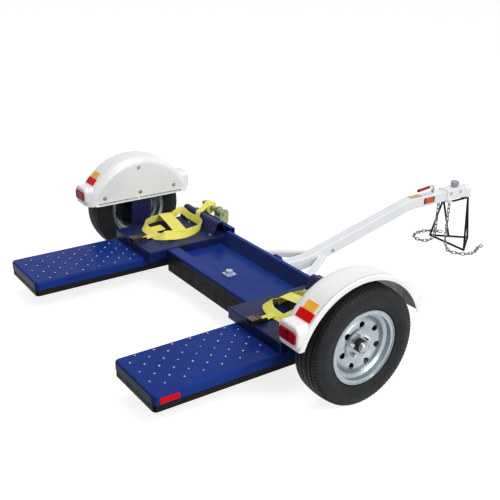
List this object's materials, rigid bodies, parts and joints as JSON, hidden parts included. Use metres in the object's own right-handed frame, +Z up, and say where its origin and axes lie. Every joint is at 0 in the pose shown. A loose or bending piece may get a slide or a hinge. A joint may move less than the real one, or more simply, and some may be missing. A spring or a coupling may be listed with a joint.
{
  "type": "car tow dolly",
  "caption": "Two-wheel car tow dolly: low steel bed with loading ramps, wheel stops and tyre straps, plastic fenders, gooseneck tongue with ball coupler, safety chains and tongue stand.",
  "frame": {"origin": "on the ground, at the middle of the length and width", "axes": "+X to the dolly's right, +Y forward towards the coupler, +Z up"},
  "size_m": [2.508, 3.181, 0.6876],
  "materials": {
    "amber_lens": "clear gloss",
    "bare_steel": "machined",
    "black_hub": "satin black paint",
    "black_rod": "satin black paint",
    "black_steel": "satin black paint",
    "blue_steel": "gloss paint",
    "chain_steel": "zinc plated",
    "grey_cast": "zinc plated casting",
    "orange_lens": "clear gloss",
    "ratchet_steel": "yellow passivated zinc",
    "red_grip": "soft vinyl",
    "red_lens": "clear gloss",
    "silver_wheel": "satin silver paint",
    "tyre_rubber": "matte",
    "white_plastic": "gloss",
    "white_steel": "gloss paint",
    "yellow_webbing": "woven polyester",
    "zinc_rod": "bright zinc",
    "zinc_steel": "bright zinc"
  },
  "bodies": {
    "chassis": {"axle_beam": "black_steel", "bed_front_beam": "black_steel", "bed_pan": "blue_steel", "bed_rails": "black_steel", "bed_rear_beam": "black_steel", "centre_plate": "black_steel", "chain_bracket": "white_steel", "coupler": "white_steel", "fender_amber_reflectors": "amber_lens", "fender_red_reflectors": "red_lens", "left_axle_riser": "blue_steel", "left_fender": "white_plastic", "left_ramp": "blue_steel", "left_ramp_rails": "black_steel", "left_safety_chain": "chain_steel", "left_strap_buckle": "ratchet_steel", "left_strap_winch": "ratchet_steel", "left_tongue_brace": "white_steel", "left_tyre_strap": "yellow_webbing", "left_wheel_pan": "blue_steel", "left_wheel_stop": "blue_steel", "left_winch_rail": "blue_steel", "lever_bracket": "white_steel", "pan_bolt": "zinc_steel", "ramp_reflectors": "red_lens", "right_axle_riser": "blue_steel", "right_fender": "white_plastic", "right_ramp": "blue_steel", "right_ramp_rails": "black_steel", "right_safety_chain": "chain_steel", "right_strap_buckle": "ratchet_steel", "right_strap_winch": "ratchet_steel", "right_tongue_brace": "white_steel", "right_tyre_strap": "yellow_webbing", "right_wheel_pan": "blue_steel", "right_wheel_stop": "blue_steel", "right_winch_rail": "blue_steel", "side_markers": "orange_lens", "spindles": "bare_steel", "stand": "black_rod", "tail_lamps": "red_lens", "tongue": "white_steel", "tongue_bracket": "blue_steel"},
    "left_wheel": {"left_tyre": "tyre_rubber", "left_rim": "silver_wheel", "left_hub": "black_hub", "left_dust_cap": "zinc_steel", "left_lug_nuts": "zinc_steel"},
    "right_wheel": {"right_tyre": "tyre_rubber", "right_rim": "silver_wheel", "right_hub": "black_hub", "right_dust_cap": "zinc_steel", "right_lug_nuts": "zinc_steel"},
    "handwheel": {"coupler_handwheel": "grey_cast"},
    "lever": {"latch_lever": "zinc_rod", "lever_grip": "red_grip"}
  },
  "joints": [
    {"name": "left_wheel_spin", "type": "hinge", "parent": "chassis", "child": "left_wheel", "pos_m": [-1.1615, -0.6105, 0.3166], "axis": [1, 0, 0], "continuous": true},
    {"name": "right_wheel_spin", "type": "hinge", "parent": "chassis", "child": "right_wheel", "pos_m": [1.1615, -0.6105, 0.3166], "axis": [1, 0, 0], "continuous": true},
    {"name": "handwheel_turn", "type": "hinge", "parent": "chassis", "child": "handwheel", "pos_m": [0, 1.3805, 0.456], "axis": [0, 0, 1], "continuous": true},
    {"name": "lever_lift", "type": "hinge", "parent": "chassis", "child": "lever", "pos_m": [0, 1.1635, 0.45], "axis": [-1, 0, 0], "range_deg": [0, 80]}
  ]
}
